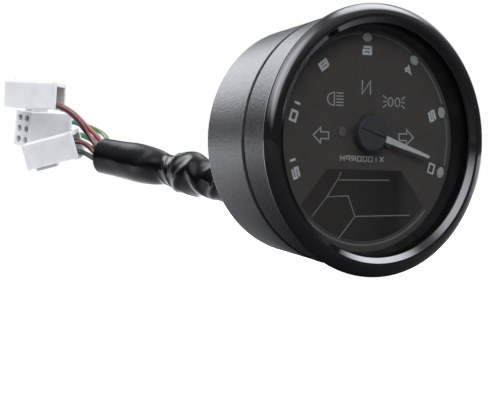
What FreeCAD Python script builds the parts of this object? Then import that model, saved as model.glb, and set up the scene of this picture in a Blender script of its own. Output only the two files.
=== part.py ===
import FreeCAD, Part
import math
import os

V = FreeCAD.Vector

# A round motorcycle instrument cluster with its wiring harness. Millimetres. The dial faces -Y, +Z is up,
# and the origin is the middle of the flat back face (y = 0).

# driving dimensions: the round case, radius (r) and place along the axis (y)
BEZEL_R = 42.5
FRONT_Y = -44.0
LIP_R = 36.4
CREST_R = 38.6
BEZEL_BACK_Y = -39.2
RING_R = 40.0
SEAM_R = 39.5
SEAM_Y = -25.5
SEAM_GAP = 1.2
BACK_R = 36.9
WALL = 2.2
FLOOR = 3.0
PAD_R = 7.0
PAD_GROOVE_W, PAD_GROOVE_T = 1.2, 0.5
SPIGOT_R = 36.9
SPIGOT_IN_R = 34.9
LEDGE_Y = -34.1

# the dial and what is behind it
DIAL_Y = -35.0
DIAL_T = 0.8
DIAL_R = 38.1
LENS_Y = -41.8
LENS_T = 1.8
SPACER_IN_R = 34.9
HUB_Z = 2.3
WINDOW_TOP_Z = -9.2
WINDOW_TOP_X = 14.6
WINDOW_R = 31.6
WINDOW_SIDE_X = 24.1
LCD_TOP_Z = -8.3
BOARD_Y = -20.0
BOARD_T = 1.6
BOARD_R = 33.5

# pointer and its gear motor
NEEDLE_REST = -16.6
NEEDLE_TIP = 24.2
CAP_R = 5.6
SHAFT_R = 0.75
RUNNING = 0.05
MODULE = 0.4
WHEEL_TEETH, PINION_TEETH = 36, 12
IDLER_TEETH, ROTOR_TEETH = 28, 14
IDLER_X, IDLER_Z = 4.8, HUB_Z - 8.314
ROTOR_X, ROTOR_Z = -3.093, HUB_Z - 11.187
MOTOR_X, MOTOR_Z, MOTOR_R = 0.5, -2.3, 14.5
MOTOR_FRONT_Y = -28.2

# fastening
INSERT_X, INSERT_Z = 16.0, 24.0
INSERT_R, INSERT_HOLE_R, INSERT_L = 3.6, 2.5, 10.0
REAR_SCREWS = [(0.0, 31.9), (-27.6, -15.95), (27.6, -15.95)]
STANDOFFS = [(20.0, 14.5), (-20.0, 14.5), (15.0, -21.0)]
DIAL_SCREWS = [(-9.36, 2.55), (8.97, -0.4)]
LEDS = [(-17.2, 1.3), (17.0, 1.4), (-12.0, 12.5), (11.2, 12.5), (0.0, 16.6), (25.4, 9.2), (11.4, 24.4),
        (-11.4, 24.4), (-25.4, 9.2), (-23.0, -12.5), (23.0, -12.5)]
BUTTON_Z = 20.0
BUTTON_R = 3.6

# harness: the sleeve's route, and how the wires fan out of it to the three connectors
WIRE_D = 1.7
SLEEVE_D, SLEEVE_IN_D = 13.0, 11.4
HEADER_X, HEADER_Z = -4.0, -18.0
HEADER_END_Y = -12.05
SLEEVE = [(-4.0, -5.0, -18.0), (-4.0, 14.0, -18.0), (-4.3, 32.0, -15.9), (-7.0, 52.0, -12.2),
          (-8.8, 70.0, -10.6), (-12.0, 88.0, -8.0), (-17.5, 104.0, -5.7)]
TRUNK = [(-4.0, 0.0, -18.0), (-4.0, 14.0, -18.0), (-4.3, 32.0, -15.9), (-7.0, 52.0, -12.2),
         (-8.8, 70.0, -10.6), (-11.8, 85.0, -8.4), (-14.4, 96.3, -6.7), (-17.5, 104.0, -5.7)]
CONNECTORS = {
    "top": {"wire_end": (-29.6, 117.3, 16.4), "along": (-0.74, 0.67, 0.03), "up": (0.0, 0.0, 1.0),
            "rows": 2, "columns": 3},
    "side": {"wire_end": (-15.7, 142.3, 4.8), "along": (-0.977, -0.212, -0.02), "up": (0.134, -0.105, 0.985),
             "rows": 3, "columns": 2},
    "front": {"wire_end": (-24.5, 111.5, -1.1), "along": (-0.72, 0.62, -0.26), "up": (-0.086, -0.11, 0.99),
              "rows": 2, "columns": 3},
}
CONNECTOR_L = 20.0
CAVITY_PITCH = 4.2
CAVITY_R = 1.3
HOOD_DEPTH = 8.0
HOOD_WALL = 1.0
COLLAR = 0.5
FANS = {
    "top": [(-18.9, 109.6, -0.6), (-21.6, 112.4, 5.2), (-25.6, 114.9, 11.8), (-31.9, 119.6, 16.0)],
    "side": [(-15.2, 110.4, -4.4), (-11.2, 118.0, -2.8), (-7.8, 126.0, -1.0), (-6.9, 132.7, 1.0),
             (-9.3, 139.0, 3.0), (-15.2, 142.4, 4.5)],
    "front": [(-20.3, 109.4, -2.7), (-25.4, 112.3, -1.5)],
}
# each wire, in the header's order: its connector, its place in the sleeve (ring radius, angle), its cavity
WIRES = {
    "wire_dark_green": ("front", 3.3, 225, (0, 0)),
    "wire_brown": ("front", 1.35, 225, (1, 1)),
    "wire_pink": ("front", 3.3, 270, (1, 0)),
    "wire_green": ("side", 1.35, 315, (0, 1)),
    "wire_blue": ("side", 3.3, 315, (1, 0)),
    "wire_white": ("side", 3.3, 0, (1, 1)),
    "wire_orange": ("front", 3.3, 180, (0, 1)),
    "wire_dark_red": ("top", 3.3, 135, (0, 0)),
    "wire_black": ("top", 1.35, 135, (1, 0)),
    "wire_red": ("top", 3.3, 90, (2, 0)),
    "wire_teal": ("side", 1.35, 45, (0, 2)),
    "wire_yellow": ("side", 3.3, 45, (1, 2)),
}


def rod(radius, y0, y1, x=0.0, z=0.0):
    """A round bar along Y from y0 to y1."""
    return Part.makeCylinder(radius, y1 - y0, V(x, y0, z), V(0, 1, 0))


def block(x0, x1, y0, y1, z0, z1):
    return Part.makeBox(x1 - x0, y1 - y0, z1 - z0, V(x0, y0, z0))


def turned(path):
    """A solid turned about the Y axis. path holds (r, y) corners; a pair of them is an arc's middle and end."""
    def at(point):
        return V(point[0], point[1], 0)
    edges = []
    here = path[0]
    for step in path[1:] + [path[0]]:
        if isinstance(step[0], tuple):
            middle, end = step
            edges.append(Part.Arc(at(here), at(middle), at(end)).toShape())
        else:
            end = step
            edges.append(Part.LineSegment(at(here), at(end)).toShape())
        here = end
    face = Part.Face(Part.Wire(edges))
    return face.revolve(V(0, 0, 0), V(0, 1, 0), 360)


def plate(points, y0, y1):
    """A flat plate with straight edges: points are (x, z) corners, and it runs from y0 to y1."""
    corners = [V(x, y0, z) for x, z in points]
    return Part.Face(Part.makePolygon(corners + corners[:1])).extrude(V(0, y1 - y0, 0))


def gear(teeth, y0, y1, x, z, turn=0.0):
    """A spur gear with straight-sided teeth of less than half the pitch, so that a pair runs with backlash."""
    pitch_r = MODULE * teeth / 2
    root_r, tip_r = pitch_r - 0.62 * MODULE, pitch_r + 0.5 * MODULE
    step = 2 * math.pi / teeth
    points = []
    for i in range(teeth):
        middle = i * step + math.radians(turn)
        for share, radius in ((-0.30, root_r), (-0.11, tip_r), (0.11, tip_r), (0.30, root_r)):
            angle = middle + share * step
            points.append((x + radius * math.cos(angle), z + radius * math.sin(angle)))
    return plate(points, y0, y1)


def rear_housing():
    back_in, seam_in = BACK_R - WALL, SEAM_R - WALL
    seam_y = SEAM_Y + SEAM_GAP / 2
    shell = turned([(0, 0), (BACK_R - 1.6, 0), ((BACK_R - 0.45, -0.45), (BACK_R, -1.6)), (SEAM_R, seam_y + 0.4),
                    (SEAM_R - 0.4, seam_y), (seam_in, seam_y), (back_in, -FLOOR), (0, -FLOOR)])
    for x, z in REAR_SCREWS:
        shell = shell.fuse(rod(3.5, -12.0, -1.0, x, z).common(turned_core()))
    for x, z in STANDOFFS:
        shell = shell.fuse(rod(3.0, BOARD_Y + BOARD_T + 0.05, -1.0, x, z))
    for side in (-1, 1):
        shell = shell.fuse(rod(5.6, -INSERT_L - 1.5, -1.0, side * INSERT_X, INSERT_Z))
    for x, z in REAR_SCREWS:
        shell = shell.cut(rod(1.7, -12.5, 1.0, x, z)).cut(rod(3.1, -2.6, 1.0, x, z))
    for x, z in STANDOFFS:
        shell = shell.cut(rod(1.25, BOARD_Y, -11.0, x, z))
    for side in (-1, 1):
        shell = shell.cut(rod(INSERT_R + 0.02, -INSERT_L, 1.0, side * INSERT_X, INSERT_Z))
    shell = shell.cut(rod(8.0, -FLOOR - 1, 1.0, HEADER_X, HEADER_Z))
    shell = shell.cut(rod(PAD_R + PAD_GROOVE_W, -PAD_GROOVE_T, 1.0).cut(rod(PAD_R, -FLOOR, 2.0)))
    return shell.cut(rod(5.0, -FLOOR - 1, 1.0, 0, BUTTON_Z)).removeSplitter()


def turned_core():
    """The space inside the rear housing's outer skin, which its bosses stay within."""
    return turned([(0, 0), (BACK_R - 0.6, 0), (SEAM_R - 0.6, SEAM_Y), (0, SEAM_Y)])


def front_ring():
    seam_y = SEAM_Y - SEAM_GAP / 2
    ring = turned([(SPIGOT_IN_R, -22.0), (SPIGOT_R, -22.0), (SPIGOT_R, seam_y), (SEAM_R - 0.3, seam_y),
                   (SEAM_R + 0.1, seam_y - 0.4), (RING_R, BEZEL_BACK_Y), (RING_R, LENS_Y + 0.6),
                   (DIAL_R + 0.3, LENS_Y + 0.6), (DIAL_R + 0.3, LEDGE_Y), (SPIGOT_IN_R, LEDGE_Y)])
    for x, z in REAR_SCREWS:
        post = rod(3.5, -28.5, -12.2, x, z).common(rod(SPIGOT_R - 0.5, -28.5, -12.0))
        ring = ring.fuse(post)
        ring = ring.cut(rod(1.25, -24.0, -12.0, x, z))
    return ring.removeSplitter()


def seam_gasket():
    half = SEAM_GAP / 2 - 0.02
    return turned([(SPIGOT_R + 0.1, SEAM_Y - half), (SEAM_R - 0.5, SEAM_Y - half),
                   ((SEAM_R - 0.25, SEAM_Y), (SEAM_R - 0.5, SEAM_Y + half)), (SPIGOT_R + 0.1, SEAM_Y + half)])


def bezel():
    """A deep-drawn trim ring: a bevel inside, a narrow crest, a rounded shoulder, and a skirt behind it."""
    lens_front = LENS_Y - 0.55
    return turned([(LIP_R, lens_front), (LIP_R, FRONT_Y + 1.4), (CREST_R - 0.55, FRONT_Y + 0.12),
                   ((CREST_R, FRONT_Y), (CREST_R + 0.8, FRONT_Y + 0.14)),
                   ((CREST_R + 2.4, FRONT_Y + 0.74), (BEZEL_R - 0.35, FRONT_Y + 1.9)),
                   ((BEZEL_R - 0.02, FRONT_Y + 2.5), (BEZEL_R - 0.15, FRONT_Y + 3.3)),
                   (BEZEL_R - 0.9, BEZEL_BACK_Y), (RING_R + 0.05, BEZEL_BACK_Y), (RING_R + 0.05, lens_front)])


def lens():
    return rod(DIAL_R, LENS_Y, LENS_Y + LENS_T)


def lens_gasket():
    return turned([(LIP_R + 0.1, LENS_Y - 0.53), (DIAL_R, LENS_Y - 0.53), (DIAL_R, LENS_Y - 0.02),
                   (LIP_R + 0.1, LENS_Y - 0.02)])


def dial_spacer():
    """The dark funnel wall between the lens and the dial."""
    front = LENS_Y + LENS_T + 0.02
    back = DIAL_Y - 0.02
    return turned([(SPACER_IN_R + 0.6, front), (DIAL_R, front), (DIAL_R, back), (SPACER_IN_R, back)])


def dial_plate():
    side_z = -math.sqrt(WINDOW_R ** 2 - WINDOW_SIDE_X ** 2)
    y = DIAL_Y - 1
    top_left, top_right = V(-WINDOW_TOP_X, y, WINDOW_TOP_Z), V(WINDOW_TOP_X, y, WINDOW_TOP_Z)
    low_left, low_right = V(-WINDOW_SIDE_X, y, side_z), V(WINDOW_SIDE_X, y, side_z)
    outline = Part.Wire([Part.LineSegment(top_left, top_right).toShape(),
                         Part.LineSegment(top_right, low_right).toShape(),
                         Part.Arc(low_right, V(0, y, -WINDOW_R), low_left).toShape(),
                         Part.LineSegment(low_left, top_left).toShape()])
    window = Part.Face(outline).extrude(V(0, DIAL_T + 2, 0))
    dial = rod(DIAL_R, DIAL_Y, DIAL_Y + DIAL_T).cut(window).cut(rod(2.5, DIAL_Y - 1, DIAL_Y + 2, 0, HUB_Z))
    for x, z in DIAL_SCREWS:
        dial = dial.cut(rod(0.9, DIAL_Y - 1, DIAL_Y + 2, x, z))
    return dial


def dial_screws():
    """Two small cross-recess screws, heads on the dial face."""
    screws = []
    for x, z in DIAL_SCREWS:
        head = rod(1.5, DIAL_Y - 0.65, DIAL_Y - 0.02, x, z)
        shank = rod(0.8, DIAL_Y - 0.1, DIAL_Y + 4.8, x, z)
        top = DIAL_Y - 0.65
        slot_a = block(x - 0.95, x + 0.95, top - 0.1, top + 0.35, z - 0.2, z + 0.2)
        slot_b = block(x - 0.2, x + 0.2, top - 0.1, top + 0.35, z - 0.95, z + 0.95)
        screws.append(head.fuse(shank).cut(slot_a).cut(slot_b).removeSplitter())
    return Part.makeCompound(screws)


def light_guide():
    """The clear plate that spreads the lamps' light behind the dial, on four legs."""
    front, back = DIAL_Y + DIAL_T + 0.1, DIAL_Y + 3.4
    guide = rod(34.5, front, back).common(block(-40, 40, front, back, LCD_TOP_Z + 0.2, 40))
    for x, z in ((-22.0, 23.0), (22.0, 23.0), (-31.0, -3.0), (31.0, -3.0)):
        guide = guide.fuse(rod(1.8, back - 0.5, BOARD_Y - 0.05, x, z))
    for x, z in DIAL_SCREWS:
        guide = guide.fuse(rod(1.8, back - 0.5, back + 1.9, x, z)).cut(rod(0.82, front - 1, back + 3, x, z))
    return guide.cut(rod(3.2, front - 1, back + 1, 0, HUB_Z)).removeSplitter()


def lcd_panel():
    front = DIAL_Y + DIAL_T + 0.1
    return rod(34.5, front, front + 2.2).common(block(-40, 40, front, front + 2.2, -40, LCD_TOP_Z))


def lcd_backlight():
    front = DIAL_Y + 3.4
    light = rod(33.0, front, front + 2.0).common(block(-40, 40, front, front + 2.0, -27.4, LCD_TOP_Z))
    return light


def lcd_pins():
    """The row of leads from the display's glass down to the board."""
    front = DIAL_Y + DIAL_T + 2.35
    return Part.makeCompound([rod(0.3, front, BOARD_Y - 0.05, -12.0 + 1.6 * i, -29.0) for i in range(16)])


def main_board():
    board = rod(BOARD_R, BOARD_Y, BOARD_Y + BOARD_T)
    for x, z in REAR_SCREWS:
        board = board.cut(rod(3.9, BOARD_Y - 1, BOARD_Y + 3, x, z))
    for x, z in STANDOFFS:
        board = board.cut(rod(1.6, BOARD_Y - 1, BOARD_Y + 3, x, z))
    return board


def board_screws():
    screws = []
    for x, z in STANDOFFS:
        head = rod(2.6, BOARD_Y - 2.0, BOARD_Y - 0.05, x, z)
        screws.append(head.fuse(rod(1.2, BOARD_Y - 0.5, -12.0, x, z)).removeSplitter())
    return Part.makeCompound(screws)


def indicator_lamps():
    y0, y1 = BOARD_Y - 1.5, BOARD_Y - 0.05
    return Part.makeCompound([block(x - 1.6, x + 1.6, y0, y1, z - 1.3, z + 1.3) for x, z in LEDS])


def board_chips():
    """The processor, the voltage regulator and a smoothing capacitor, on the back of the board."""
    y0 = BOARD_Y + BOARD_T + 0.05
    processor = block(-4.5, 4.5, y0, y0 + 1.6, -2.0, 7.0)
    regulator = block(-27.0, -20.5, y0, y0 + 2.2, -2.0, 4.5)
    capacitor = rod(4.0, y0, y0 + 8.5, 22.5, -8.5)
    return Part.makeCompound([processor, regulator, capacitor])


def motor_case():
    back = BOARD_Y - 0.1
    case = rod(MOTOR_R, MOTOR_FRONT_Y + 0.05, back, MOTOR_X, MOTOR_Z)
    case = case.cut(rod(MOTOR_R - 1.2, MOTOR_FRONT_Y - 1, back - 1.2, MOTOR_X, MOTOR_Z))
    for x, z in ((IDLER_X, IDLER_Z), (ROTOR_X, ROTOR_Z)):
        case = case.fuse(rod(0.5, MOTOR_FRONT_Y + 0.1, back - 1.0, x, z))
    return case.cut(rod(SHAFT_R + RUNNING, back - 2, back - 0.5, 0, HUB_Z)).removeSplitter()


def motor_cover():
    cover = rod(MOTOR_R, MOTOR_FRONT_Y - 0.9, MOTOR_FRONT_Y, MOTOR_X, MOTOR_Z)
    return cover.cut(rod(SHAFT_R + RUNNING, MOTOR_FRONT_Y - 2, MOTOR_FRONT_Y + 1, 0, HUB_Z))


def pointer_shaft():
    """The output wheel of the gear motor on its long shaft."""
    wheel = gear(WHEEL_TEETH, -27.6, -26.2, 0, HUB_Z, NEEDLE_REST)
    return wheel.fuse(rod(SHAFT_R, DIAL_Y - 3.4, BOARD_Y - 0.75, 0, HUB_Z)).removeSplitter()


def idler_gear():
    to_wheel = math.degrees(math.atan2(HUB_Z - IDLER_Z, -IDLER_X))
    to_rotor = math.degrees(math.atan2(ROTOR_Z - IDLER_Z, ROTOR_X - IDLER_X))
    wheel_phase = (to_wheel + 180 - NEEDLE_REST) * WHEEL_TEETH / PINION_TEETH
    pinion_turn = to_wheel + wheel_phase + 180.0 / PINION_TEETH
    pinion = gear(PINION_TEETH, -27.8, -25.5, IDLER_X, IDLER_Z, pinion_turn)
    wheel = gear(IDLER_TEETH, -25.6, -24.4, IDLER_X, IDLER_Z, to_rotor)
    return pinion.fuse(wheel).cut(rod(0.5 + RUNNING, -29, -23, IDLER_X, IDLER_Z)).removeSplitter()


def motor_rotor():
    """The magnet of the stepper motor with its small drive pinion."""
    to_idler = math.degrees(math.atan2(IDLER_Z - ROTOR_Z, IDLER_X - ROTOR_X))
    pinion = gear(ROTOR_TEETH, -25.8, -23.9, ROTOR_X, ROTOR_Z, to_idler + 180.0 / ROTOR_TEETH)
    magnet = rod(4.0, -24.0, -21.7, ROTOR_X, ROTOR_Z)
    return pinion.fuse(magnet).cut(rod(0.5 + RUNNING, -29, -20, ROTOR_X, ROTOR_Z)).removeSplitter()


def swung(shape):
    """Turns a shape drawn pointing along +X to where the pointer rests, about the pointer's shaft."""
    shape.rotate(V(0, 0, 0), V(0, -1, 0), NEEDLE_REST)
    shape.translate(V(0, 0, HUB_Z))
    return shape


def needle():
    y0, y1 = DIAL_Y - 3.5, DIAL_Y - 2.7
    arm = plate([(3.0, -1.15), (3.0, 1.15), (NEEDLE_TIP, 0.45), (NEEDLE_TIP, -0.45)], y0, y1)
    boss = rod(4.6, y0, y1 + 0.6).cut(rod(SHAFT_R + 0.02, y0 - 1, y1 + 2))
    return swung(arm.fuse(boss).cut(rod(SHAFT_R + 0.02, y0 - 1, y1 + 2)).removeSplitter())


def hub_cap():
    top, skirt_end = DIAL_Y - 4.4, DIAL_Y - 1.9
    cap = turned([(0, top), (CAP_R - 0.5, top), ((CAP_R - 0.15, top + 0.15), (CAP_R, top + 0.5)),
                  (CAP_R, skirt_end), (CAP_R - 0.8, skirt_end), (CAP_R - 0.8, top + 0.85), (0, top + 0.85)])
    notch = block(3.0, CAP_R + 1, DIAL_Y - 3.53, DIAL_Y, -1.35, 1.35)
    groove = block(0.4, CAP_R + 1, top - 0.1, top + 0.25, -0.3, 0.3)
    return swung(cap.cut(notch).cut(groove))


def threaded_inserts():
    parts = []
    for side in (-1, 1):
        x = side * INSERT_X
        parts.append(rod(INSERT_R, -INSERT_L, 0, x, INSERT_Z).cut(rod(INSERT_HOLE_R, -INSERT_L - 1, 1, x, INSERT_Z)))
    return Part.makeCompound(parts)


def rear_screws():
    screws = []
    for x, z in REAR_SCREWS:
        head = rod(2.8, -2.5, -0.4, x, z)
        slot = block(x - 1.7, x + 1.7, -1.6, 0, z - 0.35, z + 0.35)
        cross = block(x - 0.35, x + 0.35, -1.6, 0, z - 1.7, z + 1.7)
        screws.append(head.fuse(rod(1.2, -21.0, -2.0, x, z)).cut(slot).cut(cross).removeSplitter())
    return Part.makeCompound(screws)


def cable_grommet():
    """A rubber collar, clipped through the floor, that the sleeve comes out of."""
    inner = SLEEVE_D / 2 + 0.05
    collar = turned([(inner, -FLOOR - 2), (9.2, -FLOOR - 2), (9.2, -FLOOR - 0.05), (7.95, -FLOOR - 0.05),
                     (7.95, 0.05), (10.0, 0.05), (9.6, 2.4), (8.0, 5.0), (inner, 5.0)])
    collar.translate(V(HEADER_X, 0, HEADER_Z))
    return collar


def button_bush():
    bush = turned([(BUTTON_R + RUNNING, -FLOOR - 1.2), (6.2, -FLOOR - 1.2), (6.2, -FLOOR - 0.05),
                   (4.95, -FLOOR - 0.05), (4.95, 0.05), (6.2, 0.05), (6.0, 1.2), (BUTTON_R + RUNNING, 1.2)])
    bush.translate(V(0, 0, BUTTON_Z))
    return bush


def mode_button():
    """The push button on the back: a domed cap on a plunger, with a collar that keeps it from falling out."""
    button = turned([(0, 2.9), ((BUTTON_R - 1.4, 2.7), (BUTTON_R, 1.9)), (BUTTON_R, -FLOOR - 1.5),
                     (BUTTON_R + 1.4, -FLOOR - 1.5), (BUTTON_R + 1.4, -FLOOR - 2.6), (2.2, -FLOOR - 2.6),
                     (2.2, -12.9), (0, -12.9)])
    button.translate(V(0, 0, BUTTON_Z))
    return button


def button_switch():
    y0 = BOARD_Y + BOARD_T + 0.05
    body = block(-3.1, 3.1, y0, y0 + 3.4, BUTTON_Z - 3.1, BUTTON_Z + 3.1)
    return body.fuse(rod(1.7, y0 + 3.0, y0 + 4.2, 0, BUTTON_Z)).removeSplitter()


def header_spots():
    """Where the wires leave the header: two rows of six, 2.5 mm apart."""
    return [(HEADER_X + 2.5 * (column - 2.5), HEADER_Z + 2.5 * (row - 0.5))
            for row in range(2) for column in range(6)]


def board_header():
    y0 = BOARD_Y + BOARD_T + 0.05
    return block(HEADER_X - 8.6, HEADER_X + 8.6, y0, HEADER_END_Y, HEADER_Z - 3.4, HEADER_Z + 3.4)


def bent_path(points):
    """Straight runs joined by tangent arcs, each as large as its two runs allow. Returns wire, length, radii."""
    points = [V(*p) for p in points]
    edges, radii, length = [], [], 0.0
    here = points[0]
    for before, corner, after in zip(points, points[1:], points[2:]):
        run_in, run_out = corner - before, after - corner
        turn = run_in.getAngle(run_out)
        reach = 0.45 * min(run_in.Length, run_out.Length)
        radius = reach / math.tan(turn / 2)
        way_in, way_out = V(run_in).normalize(), V(run_out).normalize()
        start, end = corner - way_in * reach, corner + way_out * reach
        inward = (way_out - way_in).normalize()
        middle = corner + inward * (radius / math.cos(turn / 2) - radius)
        edges.append(Part.LineSegment(here, start).toShape())
        edges.append(Part.Arc(start, middle, end).toShape())
        radii.append(radius)
        length += (start - here).Length + radius * turn
        here = end
    edges.append(Part.LineSegment(here, points[-1]).toShape())
    length += (points[-1] - here).Length
    return Part.Wire(edges), length, radii


def tube(name, points, diameter):
    """A round cord's solid along a bent path, with its tightest radius and its volume printed."""
    path, length, radii = bent_path(points)
    ring = Part.Wire(Part.makeCircle(diameter / 2, V(*points[0]), V(*points[1]) - V(*points[0])))
    solid = path.makePipeShell([ring], True, False)
    share = solid.Volume / (math.pi * diameter ** 2 / 4 * length)
    print(f"{name}: length {length:.1f} mm, radii {[round(r, 1) for r in radii]}, volume share {share:.4f}")
    return solid


def cable_sleeve():
    outer = tube("cable_sleeve", SLEEVE, SLEEVE_D)
    inner = tube("cable_sleeve bore", SLEEVE, SLEEVE_IN_D)
    return outer.cut(inner)


def connector_axes(name):
    """A connector's wire end, its direction towards the mating face, its side and its up direction."""
    spec = CONNECTORS[name]
    along = V(*spec["along"]).normalize()
    side = along.cross(V(*spec["up"])).normalize()
    return V(*spec["wire_end"]), along, side, side.cross(along).normalize()


def cavity(name, spot, depth):
    """The middle of a terminal's hole, depth mm in from the wire end. spot is (column, row)."""
    end, along, side, up = connector_axes(name)
    spec = CONNECTORS[name]
    across = (spot[0] - (spec["columns"] - 1) / 2) * CAVITY_PITCH
    rise = (spot[1] - (spec["rows"] - 1) / 2) * CAVITY_PITCH
    return end + along * depth + side * across + up * rise


def wire_route(name, header_spot):
    """A wire's points: header, its place in the sleeve, then a fan that eases over to its cavity."""
    connector, ring_r, angle, spot = WIRES[name]
    angle = math.radians(angle)
    slot_side, slot_up = ring_r * math.cos(angle), ring_r * math.sin(angle)
    spec = CONNECTORS[connector]
    cavity_side = (spot[0] - (spec["columns"] - 1) / 2) * CAVITY_PITCH
    cavity_up = (spot[1] - (spec["rows"] - 1) / 2) * CAVITY_PITCH
    fan = FANS[connector]
    route = [V(*p) for p in TRUNK + fan] + [cavity(connector, spot, HOOD_DEPTH + 1.0)]
    points = [V(header_spot[0], HEADER_END_Y + 0.3, header_spot[1])]
    for i in range(len(TRUNK)):
        points.append(route[i] + V(slot_side, 0, slot_up))
    for i in range(len(TRUNK), len(route) - 1):
        share = (i + 1 - len(TRUNK)) / len(fan)
        along = (route[i + 1] - route[i - 1]).normalize()
        tilt = V(0, 0, 1) * (1 - share) + V(*spec["up"]) * share
        side = along.cross(tilt).normalize()
        up = side.cross(along)
        points.append(route[i] + side * (slot_side + (cavity_side - slot_side) * share)
                      + up * (slot_up + (cavity_up - slot_up) * share))
    points.append(route[-1])
    return [(p.x, p.y, p.z) for p in points]


def oriented_box(name, depth0, depth1, across, rise):
    """A box in a connector's own directions: from depth0 to depth1, half sizes across and rise."""
    end, along, side, up = connector_axes(name)
    corners = [end + along * depth0 + side * a * across + up * r * rise
               for a, r in ((-1, -1), (1, -1), (1, 1), (-1, 1))]
    return Part.Face(Part.makePolygon(corners + corners[:1])).extrude(along * (depth1 - depth0))


def half_sizes(name):
    spec = CONNECTORS[name]
    return spec["columns"] * CAVITY_PITCH / 2 + 0.55, spec["rows"] * CAVITY_PITCH / 2 + 0.55


def connector_housing(name):
    """A nylon housing: a hood round the wires, a collar at its end, through holes for the terminals, a latch."""
    across, rise = half_sizes(name)
    spec = CONNECTORS[name]
    end, along, side, up = connector_axes(name)
    body = oriented_box(name, 0, CONNECTOR_L, across, rise)
    body = body.fuse(oriented_box(name, 0, 1.6, across + COLLAR, rise + COLLAR))
    body = body.cut(oriented_box(name, -1, HOOD_DEPTH, across - HOOD_WALL, rise - HOOD_WALL))
    for column in range(spec["columns"]):
        for row in range(spec["rows"]):
            start = cavity(name, (column, row), HOOD_DEPTH - 1)
            body = body.cut(Part.makeCylinder(CAVITY_R, CONNECTOR_L, start, along))
    if name == "top":
        opening = oriented_box(name, -1, 5.0, across - HOOD_WALL, rise)
        opening.translate(up * -2.0)
        body = body.cut(opening)
    latch = oriented_box(name, 10.0, CONNECTOR_L - 2.0, 2.0, 0.9)
    latch.translate((up if name != "front" else up * -1) * (rise + 0.6))
    return body.fuse(latch).removeSplitter()


def terminals(name):
    """One crimped terminal per wire, inside the housing's holes."""
    along = connector_axes(name)[1]
    parts = []
    for wire_connector, _, _, spot in WIRES.values():
        if wire_connector == name:
            start = cavity(name, spot, HOOD_DEPTH + 1.15)
            pin = Part.makeCylinder(CAVITY_R - 0.2, 9.0, start, along)
            parts.append(pin.cut(Part.makeCylinder(0.6, 6.0, start + along * 5.0, along)))
    return Part.makeCompound(parts)


NODES = {
    "rear_housing": rear_housing, "front_ring": front_ring, "seam_gasket": seam_gasket, "bezel": bezel,
    "lens": lens, "lens_gasket": lens_gasket, "dial_spacer": dial_spacer, "dial_plate": dial_plate,
    "dial_screws": dial_screws, "light_guide": light_guide, "lcd_panel": lcd_panel,
    "lcd_backlight": lcd_backlight, "lcd_pins": lcd_pins, "main_board": main_board,
    "board_screws": board_screws, "indicator_lamps": indicator_lamps, "board_chips": board_chips,
    "motor_case": motor_case, "motor_cover": motor_cover, "pointer_shaft": pointer_shaft,
    "idler_gear": idler_gear, "motor_rotor": motor_rotor, "needle": needle, "hub_cap": hub_cap,
    "threaded_inserts": threaded_inserts, "rear_screws": rear_screws, "cable_grommet": cable_grommet,
    "button_bush": button_bush, "mode_button": mode_button, "button_switch": button_switch,
    "board_header": board_header, "cable_sleeve": cable_sleeve,
}


def main():
    os.makedirs("parts", exist_ok=True)
    shapes = {name: make() for name, make in NODES.items()}
    for name in CONNECTORS:
        shapes[f"connector_{name}"] = connector_housing(name)
        shapes[f"terminals_{name}"] = terminals(name)
    for name, spot in zip(WIRES, header_spots()):
        shapes[name] = tube(name, wire_route(name, spot), WIRE_D)
    for name, shape in shapes.items():
        if not shape.isValid():
            print("not valid:", name)
        shape.exportStep(f"parts/{name}.step")
    print(len(shapes), "nodes written")


main()
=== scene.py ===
# %% [markdown]
# # A motorcycle instrument cluster with its wiring harness
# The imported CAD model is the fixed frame: it says where every part is, and this script gives the parts
# their surfaces. Parts with a good CAD shape keep it and get a material. The prints, the display's film, the
# seal, the sleeve and the wires are new meshes, because a solid model leaves out their small detail.
# Everything is in metres, the dial faces -Y, +Z is up, and the origin is on the flat back of the case.

# %% Load the frame
import math

import bmesh
import bpy
import numpy as np
from mathutils import Matrix, Vector


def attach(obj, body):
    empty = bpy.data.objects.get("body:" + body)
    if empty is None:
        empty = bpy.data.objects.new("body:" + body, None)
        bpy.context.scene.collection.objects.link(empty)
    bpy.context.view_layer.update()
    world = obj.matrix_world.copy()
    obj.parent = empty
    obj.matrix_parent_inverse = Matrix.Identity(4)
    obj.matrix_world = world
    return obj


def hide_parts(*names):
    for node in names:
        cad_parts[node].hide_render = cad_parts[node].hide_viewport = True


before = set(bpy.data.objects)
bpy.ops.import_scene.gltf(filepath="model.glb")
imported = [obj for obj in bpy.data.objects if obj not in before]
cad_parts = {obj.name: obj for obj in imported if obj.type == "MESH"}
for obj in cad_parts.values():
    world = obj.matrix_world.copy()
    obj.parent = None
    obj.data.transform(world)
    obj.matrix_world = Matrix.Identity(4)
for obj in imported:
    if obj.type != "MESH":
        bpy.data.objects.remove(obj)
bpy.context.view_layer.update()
MM = 0.001
print("CAD nodes:", len(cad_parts))

# %% [markdown]
# ## The camera
# A long lens from about half a metre keeps the round bezel close to a true ellipse. The camera stands to
# the left of the dial, so the case's side and the harness behind it both show.

# %% Camera
SENSOR = 36.0
LENS_MM = 121.27131
EYE = Vector((-0.31335, -0.44542, -0.01132))
HEADING, PITCH, ROLL = math.radians(33.20), math.radians(-0.925), math.radians(1.293)

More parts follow.
